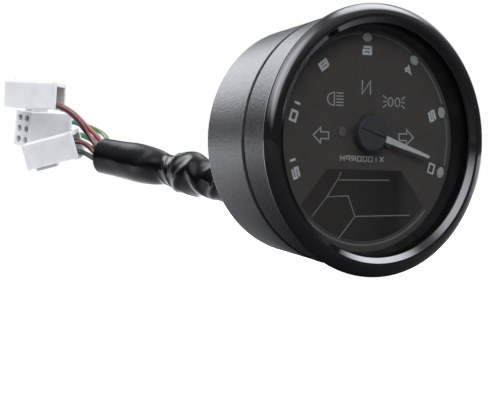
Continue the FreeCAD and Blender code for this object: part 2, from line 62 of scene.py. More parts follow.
camera_data = bpy.data.cameras.new("studio_camera")
camera_data.sensor_width = SENSOR
camera_data.sensor_fit = "HORIZONTAL"
camera_data.lens = LENS_MM
camera_data.clip_start = 0.01
camera = bpy.data.objects.new("studio_camera", camera_data)
bpy.context.scene.collection.objects.link(camera)
view_turn = (Matrix.Rotation(-HEADING, 4, "Z") @ Matrix.Rotation(math.pi / 2 + PITCH, 4, "X")
             @ Matrix.Rotation(ROLL, 4, "Z"))
camera.matrix_world = Matrix.Translation(EYE) @ view_turn
bpy.context.scene.camera = camera
print("lens, mm:", round(camera_data.lens, 1))

# %% [markdown]
# ## Colours and nodes
# Colours are written as the hex values a screen shows. Shaders work in linear light, so one function turns
# each into linear. Another adds a shader node with its settings and its links, and every material uses it.

# %% Colour and node helpers
def linear(code, alpha=1.0):
    """A hex colour such as #c8a028 as linear red, green, blue and alpha: each byte undone from sRGB."""
    channels = [int(code[i:i + 2], 16) / 255 for i in (1, 3, 5)]
    return [c / 12.92 if c <= 0.04045 else ((c + 0.055) / 1.055) ** 2.4 for c in channels] + [alpha]


def add(tree, kind, settings=None, links=None):
    """A new node of this kind. Settings are its properties or its inputs' values, links are input: socket."""
    node = tree.nodes.new(kind)
    for key, value in (settings or {}).items():
        if isinstance(key, str) and hasattr(node, key) and key not in node.inputs:
            setattr(node, key, value)
        else:
            node.inputs[key].default_value = value
    for key, socket in (links or {}).items():
        tree.links.new(socket, node.inputs[key])
    return node


def finish(name, colour, roughness, **sockets):
    """A material with one Principled shader. Returns it, its tree, the shader and the place on the piece."""
    material = bpy.data.materials.new(name)
    material.use_nodes = True
    tree = material.node_tree
    tree.nodes.clear()
    settings = {"Base Color": linear(colour), "Roughness": roughness}
    settings.update({key.replace("_", " "): value for key, value in sockets.items()})
    shader = add(tree, "ShaderNodeBsdfPrincipled", settings)
    add(tree, "ShaderNodeOutputMaterial", links={"Surface": shader.outputs[0]})
    place = add(tree, "ShaderNodeTexCoord").outputs["Object"]
    return material, tree, shader, place


def per_metre(size_mm):
    """A texture's Scale for features about size_mm across, on coordinates in metres."""
    return 1 / (size_mm * MM)


def grain(tree, shader, place, size_mm, depth_mm, detail=2.0, strength=1.0):
    """A bump from noise: features size_mm across and depth_mm deep."""
    noise = add(tree, "ShaderNodeTexNoise", {"Scale": per_metre(size_mm), "Detail": detail},
                {"Vector": place})
    bump = add(tree, "ShaderNodeBump", {"Distance": depth_mm * MM, "Strength": strength},
               {"Height": noise.outputs["Fac"]})
    tree.links.new(bump.outputs[0], shader.inputs["Normal"])


def mottled(tree, shader, place, size_mm, socket, low, high, detail=3.0):
    """A slow change of one of the shader's inputs: noise of size_mm, from low to high (numbers or hex)."""
    noise = add(tree, "ShaderNodeTexNoise", {"Scale": per_metre(size_mm), "Detail": detail},
                {"Vector": place})
    if isinstance(low, str):
        ramp = add(tree, "ShaderNodeValToRGB", links={"Fac": noise.outputs["Fac"]})
        for stop, at, code in zip(ramp.color_ramp.elements, (0.3, 0.7), (low, high)):
            stop.position, stop.color = at, linear(code)
        tree.links.new(ramp.outputs["Color"], shader.inputs[socket])
    else:
        limits = {"From Min": 0.3, "From Max": 0.7, "To Min": low, "To Max": high}
        span = add(tree, "ShaderNodeMapRange", limits, {"Value": noise.outputs["Fac"]})
        tree.links.new(span.outputs[0], shader.inputs[socket])


print("mid grey in linear light:", round(linear("#808080")[0], 3))

# %% [markdown]
# ## The harness materials
# The sleeve is soft PVC tubing: black, glossy, with small wrinkles. The wires are extruded PVC too, each in
# its own colour, with the slight unevenness of roughness that handling gives. The connectors are natural
# nylon, which lets light in a little way, so its edges glow and its shadows stay soft.

# %% Sleeve and wire materials
def sleeve_vinyl():
    material, tree, shader, place = finish(
        "soft_pvc_sleeve_black", "#040405", 0.14, IOR=1.53, Specular_IOR_Level=0.22)
    mottled(tree, shader, place, 9, "Roughness", 0.08, 0.18)
    grain(tree, shader, place, 4.5, 0.25, detail=2.0, strength=0.3)
    return material


def wire_vinyl(name, colour, shade):
    material, tree, shader, place = finish("pvc_wire_" + name, colour, 0.3, IOR=1.53)
    mottled(tree, shader, place, 7, "Base Color", shade, colour)
    mottled(tree, shader, place, 3, "Roughness", 0.22, 0.42)
    return material


def nylon():
    material, tree, shader, place = finish(
        "natural_nylon_66", "#d2d2d0", 0.38, IOR=1.53, Subsurface_Weight=0.35, Subsurface_Scale=0.002,
        Subsurface_Radius=(1.0, 0.95, 0.9))
    mottled(tree, shader, place, 6, "Base Color", "#cccccb", "#d8d8d6")
    grain(tree, shader, place, 0.6, 0.02, strength=0.4)
    return material


WIRE_COLOURS = {
    "dark_green": ("#123c26", "#0e3220"), "brown": ("#471b0e", "#3a140a"), "pink": ("#8f3a3f", "#7d3136"),
    "green": ("#1f6f45", "#195c39"), "blue": ("#7fb0bd", "#6da0ae"), "white": ("#b3b9ba", "#a1a8aa"),
    "orange": ("#54210f", "#461a0b"), "dark_red": ("#571315", "#470e10"), "black": ("#0a0a0a", "#060606"),
    "red": ("#86262b", "#741f24"), "teal": ("#2c7d76", "#226b65"), "yellow": ("#5b6a20", "#4e5c1a"),
}
SLEEVE_VINYL = sleeve_vinyl()
NYLON = nylon()
WIRE_VINYL = {name: wire_vinyl(name, *pair) for name, pair in WIRE_COLOURS.items()}
print("wire materials:", len(WIRE_VINYL))

# %% [markdown]
# ## Routes of the harness
# The harness leaves the back of the case inside one sleeve. Past the sleeve's end, the wires spread in
# three fans to three connectors. The control points are the ones the CAD tubes follow, and a NURBS spline
# of order 3 rounds them, so a wire bends like wire.

# %% Route data, in millimetres
SLEEVE = [(-4.0, -5.0, -18.0), (-4.0, 14.0, -18.0), (-4.3, 32.0, -15.9), (-7.0, 52.0, -12.2),
          (-8.8, 70.0, -10.6), (-12.0, 88.0, -8.0), (-17.5, 104.0, -5.7)]
TRUNK = [(-4.0, 0.0, -18.0), (-4.0, 14.0, -18.0), (-4.3, 32.0, -15.9), (-7.0, 52.0, -12.2),
         (-8.8, 70.0, -10.6), (-11.8, 85.0, -8.4), (-14.4, 96.3, -6.7), (-17.5, 104.0, -5.7)]
FANS = {
    "top": [(-18.9, 109.6, -0.6), (-21.6, 112.4, 5.2), (-25.6, 114.9, 11.8), (-31.9, 119.6, 16.0)],
    "side": [(-15.2, 110.4, -4.4), (-11.2, 118.0, -2.8), (-7.8, 126.0, -1.0), (-6.9, 132.7, 1.0),
             (-9.3, 139.0, 3.0), (-15.2, 142.4, 4.5)],
    "front": [(-20.3, 109.4, -2.7), (-25.4, 112.3, -1.5)],
}
CONNECTORS = {
    "top": {"wire_end": (-29.6, 117.3, 16.4), "along": (-0.74, 0.67, 0.03), "up": (0.0, 0.0, 1.0),
            "rows": 2, "columns": 3},
    "side": {"wire_end": (-15.7, 142.3, 4.8), "along": (-0.977, -0.212, -0.02), "up": (0.134, -0.105, 0.985),
             "rows": 3, "columns": 2},
    "front": {"wire_end": (-24.5, 111.5, -1.1), "along": (-0.72, 0.62, -0.26), "up": (-0.086, -0.11, 0.99),
              "rows": 2, "columns": 3},
}
# each wire, in the header's order: its connector, its place in the sleeve (ring radius, angle), its cavity
WIRES = {
    "dark_green": ("front", 3.3, 225, (0, 0)), "brown": ("front", 1.35, 225, (1, 1)),
    "pink": ("front", 3.3, 270, (1, 0)), "green": ("side", 1.35, 315, (0, 1)),
    "blue": ("side", 3.3, 315, (1, 0)), "white": ("side", 3.3, 0, (1, 1)),
    "orange": ("front", 3.3, 180, (0, 1)), "dark_red": ("top", 3.3, 135, (0, 0)),
    "black": ("top", 1.35, 135, (1, 0)), "red": ("top", 3.3, 90, (2, 0)),
    "teal": ("side", 1.35, 45, (0, 2)), "yellow": ("side", 3.3, 45, (1, 2)),
}
WIRE_D, SLEEVE_D = 1.7, 13.0
HEADER_X, HEADER_Z, HEADER_END_Y = -4.0, -18.0, -12.05
CAVITY_PITCH, HOOD_DEPTH = 4.2, 8.0


def connector_axes(name):
    """A connector's wire end, its direction towards the mating face, its side and its up direction."""
    spec = CONNECTORS[name]
    along = Vector(spec["along"]).normalized()
    side = along.cross(Vector(spec["up"])).normalized()
    return Vector(spec["wire_end"]), along, side, side.cross(along).normalized()


def cavity(name, spot, depth):
    """The middle of a terminal's hole, depth mm in from the wire end. spot is (column, row)."""
    end, along, side, up = connector_axes(name)
    spec = CONNECTORS[name]
    across = (spot[0] - (spec["columns"] - 1) / 2) * CAVITY_PITCH
    rise = (spot[1] - (spec["rows"] - 1) / 2) * CAVITY_PITCH
    return end + along * depth + side * across + up * rise


def wire_route(name, header_spot):
    """A wire's points: header, its place in the sleeve, then a fan that eases over to its cavity."""
    connector, ring_r, angle, spot = WIRES[name]
    angle = math.radians(angle)
    slot_side, slot_up = ring_r * math.cos(angle), ring_r * math.sin(angle)
    spec = CONNECTORS[connector]
    cavity_side = (spot[0] - (spec["columns"] - 1) / 2) * CAVITY_PITCH
    cavity_up = (spot[1] - (spec["rows"] - 1) / 2) * CAVITY_PITCH
    fan = FANS[connector]
    route = [Vector(p) for p in TRUNK + fan] + [cavity(connector, spot, HOOD_DEPTH + 1.0)]
    points = [Vector((header_spot[0], HEADER_END_Y + 0.3, header_spot[1]))]
    points += [p + Vector((slot_side, 0, slot_up)) for p in route[:len(TRUNK)]]
    for i in range(len(TRUNK), len(route) - 1):
        share = (i + 1 - len(TRUNK)) / len(fan)
        along = (route[i + 1] - route[i - 1]).normalized()
        tilt = Vector((0, 0, 1)) * (1 - share) + Vector(spec["up"]) * share
        side = along.cross(tilt).normalized()
        up = side.cross(along)
        points.append(route[i] + side * (slot_side + (cavity_side - slot_side) * share)
                      + up * (slot_up + (cavity_up - slot_up) * share))
    return points + [route[-1]]


header_spots = [(HEADER_X + 2.5 * (column - 2.5), HEADER_Z + 2.5 * (row - 0.5))
                for row in range(2) for column in range(6)]
print("routes:", len(header_spots))

# %% Curves from points
def spline_curve(name, points_mm, radius_mm):
    """A curve object: one open NURBS spline of order 3 through these control points, round and capped."""
    data = bpy.data.curves.new(name, "CURVE")
    data.dimensions = "3D"
    data.resolution_u = 14
    spline = data.splines.new("NURBS")
    spline.points.add(len(points_mm) - 1)
    for point, place in zip(spline.points, points_mm):
        point.co = (place[0] * MM, place[1] * MM, place[2] * MM, 1.0)
    spline.order_u = 3
    spline.use_endpoint_u = True
    data.bevel_depth = radius_mm * MM
    data.bevel_resolution = 5
    data.use_fill_caps = radius_mm > 0
    piece = bpy.data.objects.new(name, data)
    bpy.context.scene.collection.objects.link(piece)
    return piece


def spline_line(points_mm):
    """The points, in metres, that a NURBS spline with these control points runs through."""
    guide = spline_curve("guide", points_mm, 0.0)
    mesh = bpy.data.meshes.new_from_object(guide)
    line = np.array([v.co for v in mesh.vertices])
    bpy.data.objects.remove(guide)
    bpy.data.meshes.remove(mesh)
    return line


for (wire_name, place_of), header_spot in zip(WIRES.items(), header_spots):
    piece = spline_curve("wire_" + wire_name + "_insulation", wire_route(wire_name, header_spot), WIRE_D / 2)
    piece.data.materials.append(WIRE_VINYL[wire_name])
    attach(piece, "case")
    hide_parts("wire_" + wire_name)
print("wires:", len(WIRES))

# %% [markdown]
# ## Meshes from grids
# Every new shape is a grid: rows along one parameter, columns round the other, computed with numpy as whole
# arrays. One function numbers the grid's faces. It can close the grid round its columns and cap its two
# ends. Another makes the mesh and turns its faces outwards.

# %% Grid to mesh
def mesh_piece(name, points, faces, material, body, smooth=True):
    """A piece from points in mm (n, 3) and faces (lists of corner numbers), riding on a CAD body."""
    mesh = bpy.data.meshes.new(name)
    mesh.from_pydata((np.asarray(points, float) * MM).tolist(), [], [list(map(int, f)) for f in faces])
    work = bmesh.new()
    work.from_mesh(mesh)
    bmesh.ops.recalc_face_normals(work, faces=work.faces)
    work.to_mesh(mesh)
    work.free()
    mesh.polygons.foreach_set("use_smooth", [smooth] * len(mesh.polygons))
    mesh.materials.append(material)
    mesh.update()
    piece = bpy.data.objects.new(name, mesh)
    bpy.context.scene.collection.objects.link(piece)
    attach(piece, body)
    return piece


def grid_faces(rows, columns, closed, capped):
    """Quads between neighbours of a rows x columns grid, round the columns if closed, with end caps."""
    across = np.arange(columns if closed else columns - 1)
    r, c = np.meshgrid(np.arange(rows - 1), across, indexing="ij")
    after = (c + 1) % columns
    here, below = r * columns, (r + 1) * columns
    quads = np.stack([here + c, here + after, below + after, below + c], -1)
    faces = quads.reshape(-1, 4).tolist()
    if capped:
        faces.append(list(range(columns)))
        faces.append(list(range((rows - 1) * columns, rows * columns)))
    return faces


def sweep_frames(line):
    """Directions along a line of points, and two across it that don't twist: the side one stays level."""
    along = np.gradient(line, axis=0)
    along /= np.linalg.norm(along, axis=1, keepdims=True)
    side = np.cross(along, (0.0, 0.0, 1.0))
    side /= np.linalg.norm(side, axis=1, keepdims=True)
    return along, side, np.cross(side, along)


print("faces of a closed and capped 3 by 8 grid:", len(grid_faces(3, 8, True, True)))

# %% [markdown]
# ## The crumpled sleeve
# Soft tubing pulled over a bundle never stays round. It narrows to a waist where it bends, bulges beside
# it, and folds sharply there. A fold is a ridge with a steep side, which one power of a cosine makes. The
# radius is a sum of such folds over a round tube, and the tube follows the route's own spline.

# %% Sleeve mesh
def bump_at(value, middle, width):
    """A smooth hump: 1 at the middle and falling to 0 over about width."""
    return np.exp(-((value - middle) / width) ** 2)


def crumpled_sleeve():
    """Radius = 6.4 mm, plus two swellings, less the waist between them, plus ridges at a slant.

    A ridge is |cos(phase / 2)| to a power, its phase growing with the angle and with the distance along.
    """
    control = spline_line(SLEEVE) / MM
    steps = np.concatenate([[0], np.cumsum(np.linalg.norm(np.diff(control, axis=0), axis=1))])
    s = np.linspace(0, steps[-1], 380)
    line = np.stack([np.interp(s, steps, control[:, k]) for k in range(3)], 1)
    for _ in range(12):
        line[1:-1] = (line[:-2] + 2 * line[1:-1] + line[2:]) / 4
    along, side, up = sweep_frames(line)
    turn = np.linspace(0, 2 * np.pi, 128, endpoint=False)
    distance, angle = np.meshgrid(s, turn, indexing="ij")
    free = 1 / (1 + np.exp(-(distance - 14.0) / 2.0))
    radius = 6.4 + free * (1.0 * bump_at(distance, 62, 7) - 1.25 * bump_at(distance, 75.5, 5)
                           + 0.55 * bump_at(distance, 91, 11))
    flat = -0.25 * free * np.cos(2 * angle)
    ridges = np.zeros_like(radius)
    for middle, width, slant, count, phase, depth in (
            (55, 6, 0.22, 2, 0.4, 0.9), (63, 6, -0.18, 3, 1.9, 0.7), (71, 4.5, 0.30, 3, 3.1, 0.55),
            (83, 7, -0.10, 2, 0.2, 0.60), (97, 8, 0.07, 3, 2.2, 0.15), (30, 9, 0.12, 3, 1.1, 0.35),
            (42, 6, -0.22, 3, 2.7, 0.50)):
        fold = np.abs(np.cos((count * angle + slant * (distance - middle) * count + phase) / 2)) ** 5
        ridges += depth * (fold - 0.35) * bump_at(distance, middle, width)
    radius = radius + flat + free * ridges
    ring = (line[:, None, :] + radius[..., None] * (np.cos(angle)[..., None] * side[:, None, :]
                                                    + np.sin(angle)[..., None] * up[:, None, :]))
    inner = (line[:, None, :] + (radius[..., None] - 0.8) * (np.cos(angle)[..., None] * side[:, None, :]
                                                             + np.sin(angle)[..., None] * up[:, None, :]))
    points = np.concatenate([ring, inner[::-1]]).reshape(-1, 3)
    rows, columns = 2 * len(s), len(turn)
    faces = grid_faces(rows + 1, columns, True, False)
    faces = (np.array(faces) % (rows * columns)).tolist()
    piece = mesh_piece("crumpled_sleeve", points, faces, SLEEVE_VINYL, "case")
    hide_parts("cable_sleeve")
    return piece


sleeve_piece = crumpled_sleeve()
print("sleeve faces:", len(sleeve_piece.data.polygons))

# %% [markdown]
# ## The case and dial materials
# The case has a fine sand-texture paint: satin, with a tiny grain. What its pigment is isn't known. The
# shader is mostly metallic only because that gives the broad soft reflections round the case. The bezel is
# polished black. The dial is a thin printed sheet, matte and a little warm.

# %% Case, bezel and dial materials
def sand_paint():
    """Satin paint with a grit. The grit of such paint is too fine to show, so it is drawn coarser."""
    material, tree, shader, place = finish("sand_texture_paint_grey", "#5a5a59", 0.3, Metallic=0.85)
    mottled(tree, shader, place, 0.7, "Base Color", "#505050", "#656564", detail=2.0)
    grain(tree, shader, place, 0.7, 0.08, detail=2.0, strength=1.0)
    return material


def polished_black():
    material, tree, shader, place = finish("polished_black_nickel_trim", "#060608", 0.05, IOR=1.75)
    mottled(tree, shader, place, 18, "Roughness", 0.035, 0.07)
    return material


def glass_sheet(name, colour, shade):
    """Polished glass over a dark display: smooth, with a slow change of shade behind it."""
    material, tree, shader, place = finish(name, colour, 0.1, IOR=1.5)
    mottled(tree, shader, place, 22, "Base Color", shade, colour, detail=1.0)
    mottled(tree, shader, place, 12, "Roughness", 0.08, 0.16)
    return material


def moulded(name, colour, shade, roughness, grain_mm=0.5):
    """A moulded plastic or rubber: two near shades, roughness that varies a little, and a grain.

    The real grain is too fine to show, so it is drawn coarser.
    """
    material, tree, shader, place = finish(name, colour, roughness, IOR=1.5)
    mottled(tree, shader, place, 5, "Base Color", shade, colour)
    mottled(tree, shader, place, 3, "Roughness", roughness * 0.85, min(1.0, roughness * 1.15))
    grain(tree, shader, place, grain_mm, 0.015, strength=0.5)
    return material


def metal(name, colour, roughness):
    """A plated or turned metal: noise stretched along Z, for scratches drawn coarser than real ones."""
    material, tree, shader, place = finish(name, colour, roughness, Metallic=1.0)
    stretched = add(tree, "ShaderNodeMapping", {"Scale": (1.0, 1.0, 0.15)}, {"Vector": place})
    mottled(tree, shader, stretched.outputs[0], 0.8, "Roughness", roughness * 0.7, roughness * 1.4)
    return material


def clear_lens():
    """Clear acrylic as a thin pane: light passes straight through, and Fresnel adds its reflection.

    The IOR is below acrylic's 1.49, so that the reflection stays faint.
    """
    material = bpy.data.materials.new("clear_acrylic_lens")
    material.use_nodes = True
    tree = material.node_tree
    tree.nodes.clear()
    through = add(tree, "ShaderNodeBsdfTransparent", {"Color": linear("#f7f8f8")})
    shine = add(tree, "ShaderNodeBsdfGlossy", {"Roughness": 0.04})
    share = add(tree, "ShaderNodeFresnel", {"IOR": 1.25})
    pane = add(tree, "ShaderNodeMixShader", links={0: share.outputs[0], 1: through.outputs[0],
                                                   2: shine.outputs[0]})
    add(tree, "ShaderNodeOutputMaterial", links={"Surface": pane.outputs[0]})
    return material


def ring_piece(name, profile, material, body="case", steps=240):
    """A closed profile of (r, y) corners in mm turned about the Y axis: (r cos a, y, r sin a)."""
    profile = np.asarray(profile, float)
    a = np.linspace(0, 2 * np.pi, steps, endpoint=False)[:, None]
    r, y = profile[:, 0][None, :], profile[:, 1][None, :]
    level = np.broadcast_to(y, (steps, len(profile)))
    points = np.stack([r * np.cos(a), level, r * np.sin(a)], -1).reshape(-1, 3)
    faces = np.array(grid_faces(steps + 1, len(profile), True, False)) % len(points)
    return mesh_piece(name, points, faces, material, body)


SAND_PAINT = sand_paint()
POLISHED_BLACK = polished_black()
LENS_ACRYLIC = clear_lens()
NODE_FINISHES = {
    "rear_housing": SAND_PAINT, "front_ring": SAND_PAINT, "bezel": POLISHED_BLACK, "lens": LENS_ACRYLIC,
    # near-pure black: partly the seal's own colour, partly painted shade of the seam gap
    "seam_gasket": moulded("silicone_seal_black_and_painted_gap_shade", "#040404", "#020202", 0.8),
    "lens_gasket": moulded("silicone_lens_seal", "#101011", "#0a0a0a", 0.6),
    "dial_spacer": moulded("abs_inner_wall_black", "#0b0b0c", "#070707", 0.35),
    "dial_plate": moulded("printed_dial_sheet", "#58534d", "#524d48", 0.6, 0.3),
    "dial_screws": metal("zinc_plated_dial_screw", "#b5b5b2", 0.35),
    "light_guide": moulded("frosted_acrylic_guide", "#dcdcd6", "#cfcfc8", 0.4),
    "lcd_panel": glass_sheet("lcd_glass_dark", "#322f28", "#26231e"),
    "lcd_backlight": moulded("backlight_film_white", "#d8dad6", "#cbcdc8", 0.5),
    "lcd_pins": metal("tinned_pins", "#b9bbbd", 0.3),
    "main_board": moulded("solder_mask_green", "#1f5a35", "#17482a", 0.35),
    "board_screws": metal("zinc_plated_screw", "#a9abad", 0.3),
    "indicator_lamps": moulded("led_epoxy_white", "#dfe0dc", "#cfd0cb", 0.3),
    "board_chips": moulded("epoxy_moulding_black", "#18181a", "#101011", 0.55),
    "motor_case": moulded("pbt_motor_black", "#1a1a1b", "#121213", 0.45),
    "motor_cover": moulded("pbt_motor_cover", "#1c1c1d", "#131314", 0.45),
    "pointer_shaft": metal("turned_steel_shaft", "#b4b4b2", 0.25),
    "idler_gear": moulded("acetal_gear_white", "#e6e6e0", "#d8d8d2", 0.35),
    "motor_rotor": moulded("ferrite_magnet_grey", "#4a4a4c", "#3c3c3e", 0.5),
    "threaded_inserts": metal("turned_brass_insert", "#c8a457", 0.28),
    "rear_screws": metal("blackened_rear_screw", "#3a3a3b", 0.35),
    "cable_grommet": moulded("nitrile_rubber_grommet", "#131314", "#0c0c0c", 0.7),
    "button_bush": moulded("nitrile_rubber_bush", "#131314", "#0c0c0c", 0.65),
    "mode_button": moulded("silicone_button", "#1b1b1c", "#131313", 0.55),
    "button_switch": moulded("switch_body_black", "#19191a", "#121212", 0.5),
    "board_header": moulded("nylon_header_cream", "#dcd8c8", "#cdc9b8", 0.4),
}
NODE_FINISHES.update({"connector_" + name: NYLON for name in CONNECTORS})
TERMINAL_TIN = metal("tinned_brass_terminal", "#57534a", 0.45)
NODE_FINISHES.update({"terminals_" + name: TERMINAL_TIN for name in CONNECTORS})
for node_name, material in NODE_FINISHES.items():
    for place_in_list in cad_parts[node_name].material_slots:
        place_in_list.material = material
print("CAD nodes finished:", len(NODE_FINISHES))

# %% [markdown]
# ## The seal bead and the seam's painted shade
# The two halves of the case meet on a black silicone seal. The bead is drawn wider than the seal, over the
# chamfers on both sides, and stands just proud, so from any side it is a bold line: partly the real black
# seal, partly painted shade of the gap between the two halves.

# %% Seal bead
# the bead's profile (r, y) in mm: it spreads over both chamfers, where the seam gap's shade is painted
SEAL_AND_PAINTED_GAP_SHADE_PROFILE = [(39.0, -26.45), (39.48, -26.4), (39.66, -26.1), (39.72, -25.6), (39.66, -25.1), (39.48, -24.68),
        (39.0, -24.6)]
bead = ring_piece("seam_seal_and_painted_gap_shade", SEAL_AND_PAINTED_GAP_SHADE_PROFILE, NODE_FINISHES["seam_gasket"])
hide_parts("seam_gasket")
print("bead faces:", len(bead.data.polygons))

# %% [markdown]
# ## Printed marks
# The dial's marks are screen-printed in thick light ink. Each is a line of constant width, so one function
# draws them all: it offsets a line of points to both sides, with mitred corners, and gives the strip a
# thickness. Digits are lines on a small cell, one unit wide and one and a half tall.
# The whole print is laid out in reverse, as the real dial here shows it.

# %% Strips of ink
DIAL_FACE_Y = -35.0
INK = 0.08
SUNK = 0.02


def strip(points, width, face_y, closed=False):
    """A flat line of ink: points (x, z) in mm, offset by half the width along mitred normals, INK thick."""
    p = np.asarray(points, float)
    if closed:
        before, after = p - np.roll(p, 1, 0), np.roll(p, -1, 0) - p
    else:
        steps = np.diff(p, axis=0)
        before, after = np.vstack([steps[:1], steps]), np.vstack([steps, steps[-1:]])
    before /= np.linalg.norm(before, axis=1, keepdims=True)
    after /= np.linalg.norm(after, axis=1, keepdims=True)
    n1 = np.stack([-before[:, 1], before[:, 0]], 1)
    n2 = np.stack([-after[:, 1], after[:, 0]], 1)
    mitre = (n1 + n2) / np.maximum(1 + (n1 * n2).sum(1, keepdims=True), 0.35)
    left, right = p + mitre * width / 2, p - mitre * width / 2
    ring = [np.insert(edge, 1, y, axis=1) for edge, y in (
        (left, face_y + SUNK), (left, face_y - INK), (right, face_y - INK), (right, face_y + SUNK))]
    grid = np.stack(ring, 1)
    if closed:
        grid = np.concatenate([grid, grid[:1]])
        faces = np.array(grid_faces(len(grid), 4, True, False)) % ((len(grid) - 1) * 4)
        return grid[:-1].reshape(-1, 3), faces.tolist()
    return grid.reshape(-1, 3), grid_faces(len(grid), 4, True, True)


def joined(parts):
    """Several (points, faces) pairs as one."""
    points, faces, shift = [], [], 0
    for part_points, part_faces in parts:
        points.append(part_points)
        faces += [[corner + shift for corner in face] for face in part_faces]
        shift += len(part_points)
    return np.concatenate(points), faces


GLYPHS = {
    "0": [[(0, 0), (1, 0), (1, 1.5), (0, 1.5), (0, -0.01)]],
    "1": [[(0.5, 0), (0.5, 1.5)]],
    "2": [[(0, 1.5), (1, 1.5), (1, 0.75), (0, 0.75), (0, 0), (1, 0)]],
    "4": [[(0.72, 0), (0.72, 1.5), (0, 0.55), (1, 0.55)]],
    "6": [[(1, 1.5), (0, 1.5), (0, 0), (1, 0), (1, 0.8), (0, 0.8)]],
    "8": [[(0, 0), (1, 0), (1, 1.5), (0, 1.5), (0, -0.01)], [(0, 0.77), (1, 0.77)]],
    "N": [[(0, 0), (0, 1.5), (1, 0), (1, 1.5)]],
    "X": [[(0, 0), (1, 1.5)], [(0, 1.5), (1, 0)]],
    "R": [[(0, 0), (0, 1.5), (1, 1.5), (1, 0.8), (0, 0.8)], [(0.45, 0.8), (1, 0)]],
    "P": [[(0, 0), (0, 1.5), (1, 1.5), (1, 0.7), (0, 0.7)]],
    "M": [[(0, 0), (0, 1.5), (0.5, 0.7), (1, 1.5), (1, 0)]],
}


def lettering(text, centre, tall, stroke, heading=90.0, spread=1.55, wide=None):
    """A word in strips of ink, reversed: letters run against the reading direction, tops towards heading."""
    heading = math.radians(heading)
    top = np.array((math.cos(heading), math.sin(heading)))
    reading = np.array((-top[1], top[0]))
    scale = tall / 1.5
    across = scale if wide is None else wide
    parts = []
    for i, letter in enumerate(text):
        middle = (i - (len(text) - 1) / 2) * spread * across
        for line in GLYPHS[letter]:
            cell = np.array(line, float) - (0.5, 0.75)
            placed = np.array(centre) + np.outer(cell[:, 0] * across + middle, reading) \
                + np.outer(cell[:, 1] * scale, top)
            parts.append(strip(placed, stroke, DIAL_FACE_Y))
    return parts


def arc_points(radius, start, end, count, centre=(0.0, 0.0)):
    """Points on an arc: centre + radius (cos a, sin a), a in degrees from start to end."""
    a = np.radians(np.linspace(start, end, count))
    return np.stack([centre[0] + radius * np.cos(a), centre[1] + radius * np.sin(a)], 1)


print("glyphs:", len(GLYPHS))

# %% [markdown]
# ## Inks
# Screen ink is slightly uneven and never pure white. The large digits are the lightest. The dots and the
# outline signs are greyer, and the scale line is fainter still.

# %% Digits, dots and the scale line
def ink(name, colour, shade):
    material, tree, shader, place = finish(name, colour, 0.5, IOR=1.5)
    mottled(tree, shader, place, 1.2, "Base Color", shade, colour)
    grain(tree, shader, place, 0.3, 0.01, strength=0.3)
    return material


INK_WHITE = ink("screen_ink_white", "#f0f0ec", "#dadad6")
INK_GREY = ink("screen_ink_grey", "#ccccc6", "#b8b8b2")
INK_DIM = ink("screen_ink_dim", "#a6a6a0", "#94948e")
INK_FAINT = ink("screen_ink_faint", "#8a8a85", "#7a7a75")
DIAL_MARKS = {0: -17, 2: 18, 4: 54, 6: 90, 8: 126, 10: 162, 12: 198}
DIGIT_R, DIGIT_TALL, DIGIT_WIDE, DIGIT_SPREAD = 28.2, 2.1, 2.9, 1.42
DIGIT_STROKE, ZERO_STROKE = 0.72, 0.5
DOT_R, DOT_STRETCH, DOT_PLACE_R, LAST_DOT = 1.4, 1.3, 32.3, 6
SCALE_R, SCALE_CENTRE, SCALE_STROKE, SCALE_STEP = 33.15, (0, 0.34), 0.55, 1.4
SCALE_ARCS = [(-13, 14), (22, 50), (58, 86), (94, 318.4)]


def polar(radius, degrees):
    return radius * math.cos(math.radians(degrees)), radius * math.sin(math.radians(degrees))


def ink_spot(degrees):
    """A soft oval of ink on the scale line: rings of shrinking size and growing height, each an ellipse
    DOT_STRETCH times as long along the scale as across it."""
    turn = np.linspace(0, 2 * np.pi, 28, endpoint=False)
    centre = np.array(polar(DOT_PLACE_R, degrees))
    outward = np.array(polar(1.0, degrees))
    onward = np.array((-outward[1], outward[0]))
    rings = []
    for share, rise in ((1.0, -SUNK), (1.0, 0.03), (0.93, INK), (0.6, INK + 0.02), (0.1, INK + 0.03)):
        oval = np.outer(np.cos(turn), outward) + DOT_STRETCH * np.outer(np.sin(turn), onward)
        flat = centre + share * DOT_R * oval
        rings.append(np.insert(flat, 1, DIAL_FACE_Y - rise, axis=1))
    return np.concatenate(rings), grid_faces(len(rings), len(turn), True, True)


def ink_piece(name, parts, material):
    """Strips of ink as one flat-shaded piece on the case."""
    return mesh_piece(name, *joined(parts), material, "case", smooth=False)


digit_parts = []
for number, degrees in DIAL_MARKS.items():
    stroke = ZERO_STROKE if number == 0 else DIGIT_STROKE
    digit_parts += lettering(str(number), polar(DIGIT_R, degrees), DIGIT_TALL, stroke, degrees, DIGIT_SPREAD,
                             DIGIT_WIDE)
digits = ink_piece("dial_digits", digit_parts, INK_WHITE)
spots = [ink_spot(degrees) for number, degrees in DIAL_MARKS.items() if number <= LAST_DOT]
mesh_piece("dial_dots", *joined(spots), INK_GREY, "case")
scale_parts = [strip(arc_points(SCALE_R, start, end, 1 + int((end - start) / SCALE_STEP), SCALE_CENTRE),
                     SCALE_STROKE, DIAL_FACE_Y) for start, end in SCALE_ARCS]
ink_piece("dial_scale_line", scale_parts, INK_FAINT)
print("digit faces:", len(digits.data.polygons))

# %% [markdown]
# ## Signs for the lamps
# The warning signs are printed in outline: the turn arrows, the main beam, the side lights and N for
# neutral. A picture texture could hold them, but strips of ink keep such thin lines sharp and need no image.

# %% Signs for the lamps
OUTLINE, RAY = 0.36, 0.34


def arrow(tip_x, tip_z, facing):
    """A turn-signal arrow in outline: head 2.8 long and 4.8 tall, then a short shaft. facing is -1 or 1."""
    shape = [(0, 0), (-2.8, 2.4), (-2.8, 1.05), (-5.8, 1.05), (-5.8, -1.05), (-2.8, -1.05), (-2.8, -2.4)]
    return strip([(tip_x + facing * x, tip_z + z) for x, z in shape], OUTLINE, DIAL_FACE_Y, closed=True)


